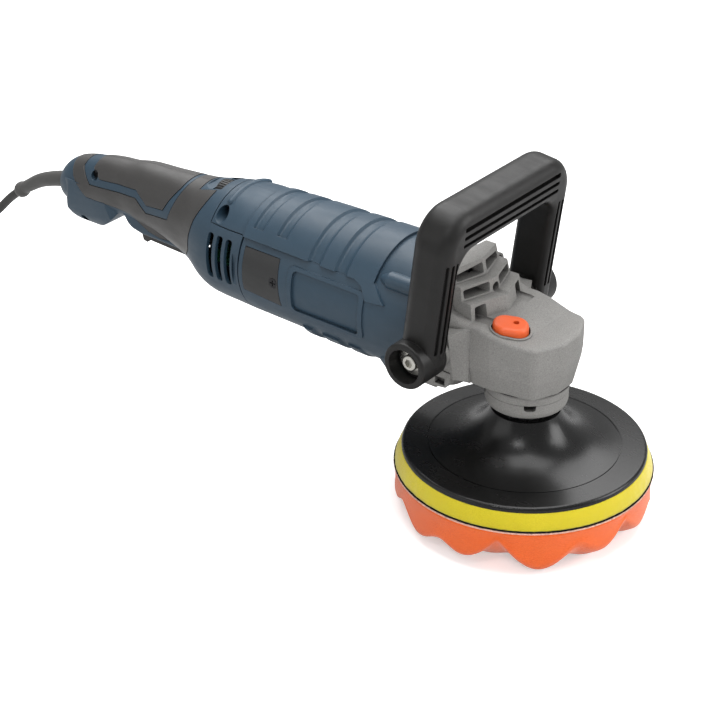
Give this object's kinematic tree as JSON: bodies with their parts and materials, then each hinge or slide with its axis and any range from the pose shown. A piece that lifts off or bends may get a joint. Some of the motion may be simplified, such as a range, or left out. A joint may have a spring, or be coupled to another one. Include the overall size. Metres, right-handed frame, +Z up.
{
  "type": "rotary polisher",
  "caption": "Corded rotary polisher with a loop front handle, long rear grip, bevel gear head and a foam pad on a hook-and-loop backing plate.",
  "frame": {"origin": "centre of the working face of the foam pad, on the spindle axis", "axes": "+Z up along the spindle; +X from the rear handle to the gear head, parallel to the motor axis; +Y to the left of the tool"},
  "size_m": [0.5387, 0.15, 0.2012],
  "materials": {
    "housing_blue": "satin moulded plastic",
    "grip_grey": "matt soft overmould",
    "loop_black": "fine-grained moulded plastic",
    "plate_black": "semi-gloss moulded plastic",
    "cast_aluminium": "as-cast, lightly sprayed",
    "button_orange": "smooth moulded plastic",
    "foam_yellow": "fine closed-cell foam",
    "foam_orange": "open-cell foam",
    "hook_dark": "hook tape",
    "loop_pale": "brushed loop fleece",
    "cover_dark": "matt moulded plastic",
    "switch_dark": "satin moulded plastic",
    "cord_dark": "matt rubber",
    "guard_grey": "matt rubber",
    "steel": "ground or turned steel",
    "zinc_bolt": "bright zinc plate",
    "black_screw": "black oxide",
    "laminated_steel": "stacked sheet",
    "copper": "enamelled wire",
    "carbon": "pressed carbon",
    "brass_part": "drawn brass",
    "board_green": "circuit board",
    "felt_grey": "pressed felt",
    "inner_plastic": "moulded plastic"
  },
  "bodies": {
    "machine": {"gear_housing": "cast_aluminium", "bearing_cover": "cast_aluminium", "spindle_bearing": "steel", "needle_bush": "steel", "dust_seal": "felt_grey", "handle_bolts": "zinc_bolt", "handle_washers": "zinc_bolt", "housing_screws": "black_screw", "motor_housing": "housing_blue", "brush_cover_right": "cover_dark", "brush_cover_left": "cover_dark", "brush_cover_screws": "black_screw", "front_motor_bearing": "steel", "bearing_plate": "steel", "plate_screws": "black_screw", "rear_motor_bearing": "steel", "bearing_sleeve": "grip_grey", "field_core": "laminated_steel", "field_coils": "copper", "air_baffle": "inner_plastic", "brush_holders": "brass_part", "carbon_brushes": "carbon", "brush_springs": "steel", "handle_shell_right": "housing_blue", "handle_shell_left": "housing_blue", "grip_panel_right": "grip_grey", "grip_panel_left": "grip_grey", "grip_band_right": "grip_grey", "grip_band_left": "grip_grey", "shell_screws": "black_screw", "trigger_pin": "steel", "switch_body": "switch_dark", "speed_board": "board_green", "cord_guard": "guard_grey", "power_cord": "cord_dark", "cord_clamp": "inner_plastic", "clamp_screws": "black_screw"},
    "spindle_and_pad": {"spindle": "steel", "bevel_wheel": "steel", "retaining_ring": "steel", "backing_plate": "plate_black", "hub_insert": "steel", "plate_foam": "foam_yellow", "hook_layer": "hook_dark", "loop_layer": "loop_pale", "foam_pad": "foam_orange"},
    "armature": {"armature_shaft": "steel", "armature_core": "laminated_steel", "armature_winding": "copper", "commutator": "copper", "cooling_fan": "inner_plastic", "bevel_pinion": "steel", "pinion_nut": "steel"},
    "lock": {"lock_button": "button_orange", "lock_pin": "steel", "lock_spring": "steel"},
    "loop": {"loop_handle": "loop_black"},
    "trigger_paddle": {"trigger": "switch_dark"},
    "dial": {"speed_dial": "switch_dark"}
  },
  "joints": [
    {"name": "spindle_spin", "type": "hinge", "parent": "machine", "child": "spindle_and_pad", "pos_m": [0, 0, 0.05], "axis": [0, 0, 1], "continuous": true},
    {"name": "armature_spin", "type": "hinge", "parent": "machine", "child": "armature", "pos_m": [-0.1, 0, 0.1085], "axis": [1, 0, 0], "continuous": true},
    {"name": "lock_button_press", "type": "slide", "parent": "machine", "child": "lock", "axis": [0, 0, -1], "range_m": [0, 0.004], "stiffness_N_per_m": 600, "springref_m": -0.001, "deforming": ["lock_spring"]},
    {"name": "loop_handle_tilt", "type": "hinge", "parent": "machine", "child": "loop", "pos_m": [-0.038, 0, 0.1085], "axis": [0, 1, 0], "range_deg": [-40, 40]},
    {"name": "trigger_squeeze", "type": "hinge", "parent": "machine", "child": "trigger_paddle", "pos_m": [-0.2515, 0, 0.098], "axis": [0, 1, 0], "range_deg": [0, 5], "stiffness_Nm_per_rad": 1.5, "springref_deg": -5.73},
    {"name": "speed_dial_turn", "type": "hinge", "parent": "machine", "child": "dial", "pos_m": [-0.2245, 0, 0.1348], "axis": [1, 0, 0], "range_deg": [-140, 140]}
  ],
  "couplings": [
    {"joint": "armature_spin", "follows": "spindle_spin", "ratio": -4.3333}
  ]
}
